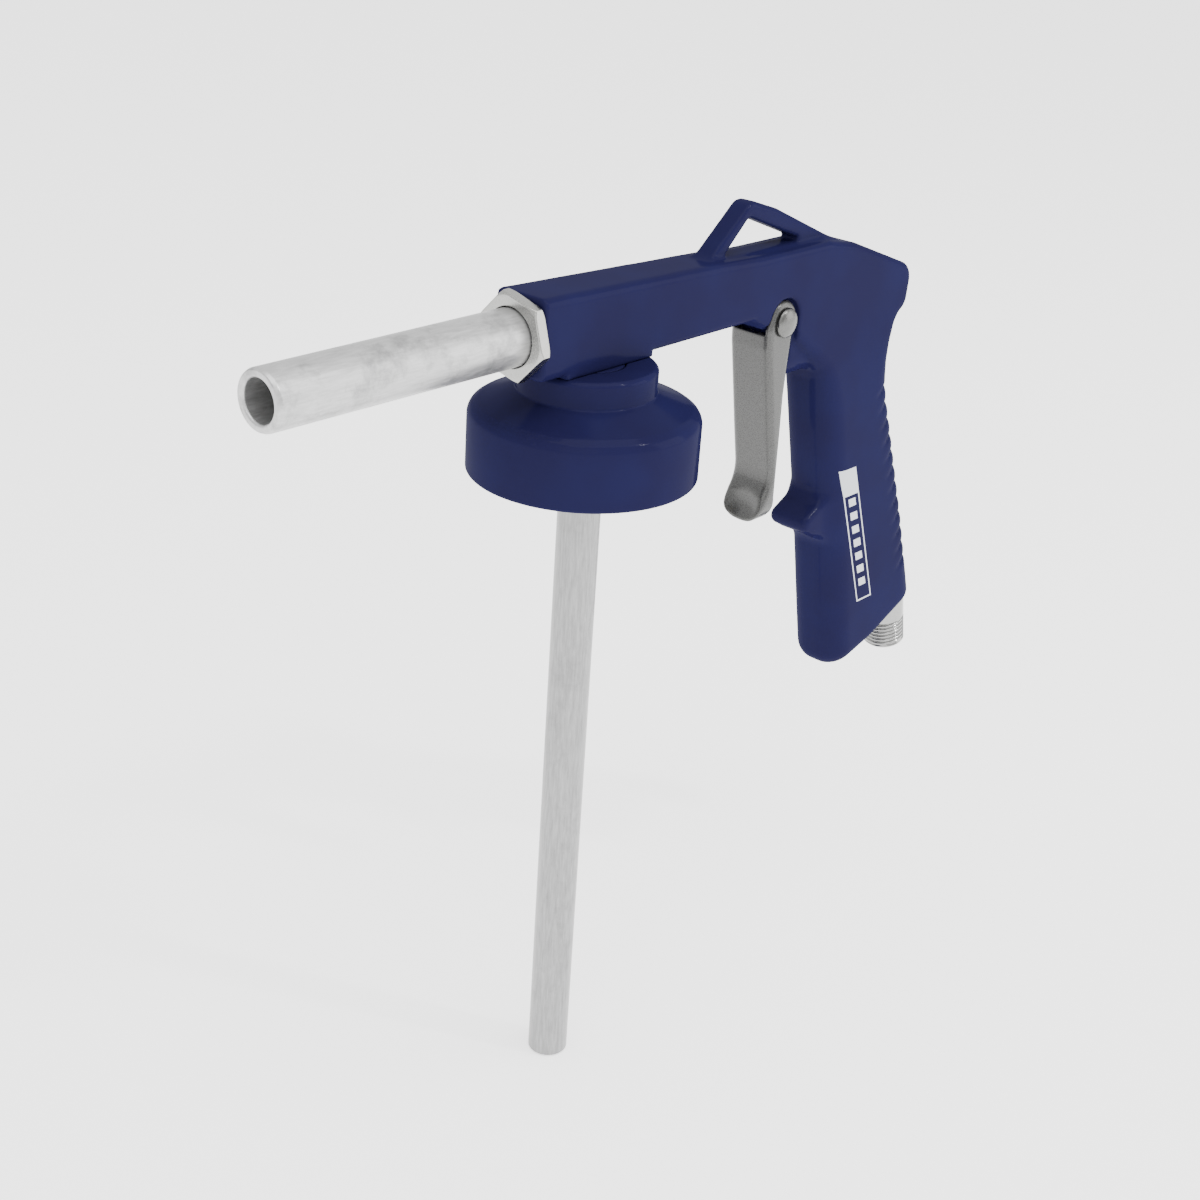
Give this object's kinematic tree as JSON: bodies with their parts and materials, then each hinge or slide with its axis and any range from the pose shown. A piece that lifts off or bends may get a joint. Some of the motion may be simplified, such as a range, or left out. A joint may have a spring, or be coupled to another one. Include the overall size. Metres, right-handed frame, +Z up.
{
  "type": "underbody coating spray gun",
  "caption": "Compressed-air spray gun with a straight nozzle tube, hanging hook, pistol grip, U-channel trigger, swivelling can cap and a suction tube below it.",
  "frame": {"origin": "on the can cap's axis, in the plane of the can gasket's sealing face", "axes": "+Z up along the suction tube and the cap's axis, -X the way the nozzle points, -Y the side with the pivot pin's head"},
  "size_m": [0.2625, 0.058, 0.2369],
  "materials": {
    "body_paint": "glossy navy-blue enamel on die-cast metal",
    "cap_paint": "glossy navy-blue enamel on a die-cast cap",
    "tube_aluminium": "dull matt tube with faint grey stains",
    "nut_steel": "ground and plated",
    "trigger_steel": "satin, fine grain",
    "rivet_steel": "plated, half gloss",
    "valve_steel": "turned and plated",
    "inlet_chrome": "bright plated",
    "brass_parts": "turned brass",
    "black_rubber": "matt black",
    "fibre_seal": "red vulcanised fibre"
  },
  "bodies": {
    "frame": {"gun_body": "body_paint", "air_jet": "brass_parts", "jet_seal": "fibre_seal", "trigger_pivot_pin": "rivet_steel", "pivot_retainer": "rivet_steel", "gland_nut": "brass_parts", "stem_packing": "black_rubber", "valve_cartridge": "brass_parts", "cartridge_o_ring": "black_rubber", "valve_spring": "valve_steel", "inlet_nipple": "inlet_chrome", "inlet_seal": "fibre_seal", "suction_fitting": "brass_parts", "fitting_seal": "black_rubber", "suction_tube": "tube_aluminium", "neck_o_ring": "black_rubber", "thrust_washer": "valve_steel"},
    "nozzle": {"nozzle_tube": "tube_aluminium"},
    "lock_nut": {"nozzle_lock_nut": "nut_steel"},
    "trigger": {"trigger": "trigger_steel"},
    "valve": {"valve_stem": "valve_steel", "valve_seal_washer": "black_rubber"},
    "cap": {"can_cap": "cap_paint", "cap_gasket": "black_rubber"}
  },
  "joints": [
    {"name": "trigger_pull", "type": "hinge", "parent": "frame", "child": "trigger", "pos_m": [0.0712, 0, 0.014], "axis": [0, -1, 0], "range_deg": [0, 14], "stiffness_Nm_per_rad": 0.9, "springref_deg": -20.05},
    {"name": "valve_travel", "type": "slide", "parent": "frame", "child": "valve", "axis": [1, 0, 0], "range_m": [0, 0.0032], "deforming": ["valve_spring"]},
    {"name": "cap_swivel", "type": "hinge", "parent": "frame", "child": "cap", "pos_m": [0, 0, 0], "axis": [0, 0, 1], "continuous": true},
    {"name": "nozzle_adjust", "type": "slide", "parent": "frame", "child": "nozzle", "axis": [-1, 0, 0], "range_m": [0, 0.005]},
    {"name": "lock_nut_turn", "type": "hinge", "parent": "frame", "child": "lock_nut", "pos_m": [-0.0264, 0, 0.0265], "axis": [-1, 0, 0], "continuous": true}
  ],
  "couplings": [
    {"joint": "valve_travel", "follows": "trigger_pull", "m_per_rad": 0.0125}
  ]
}
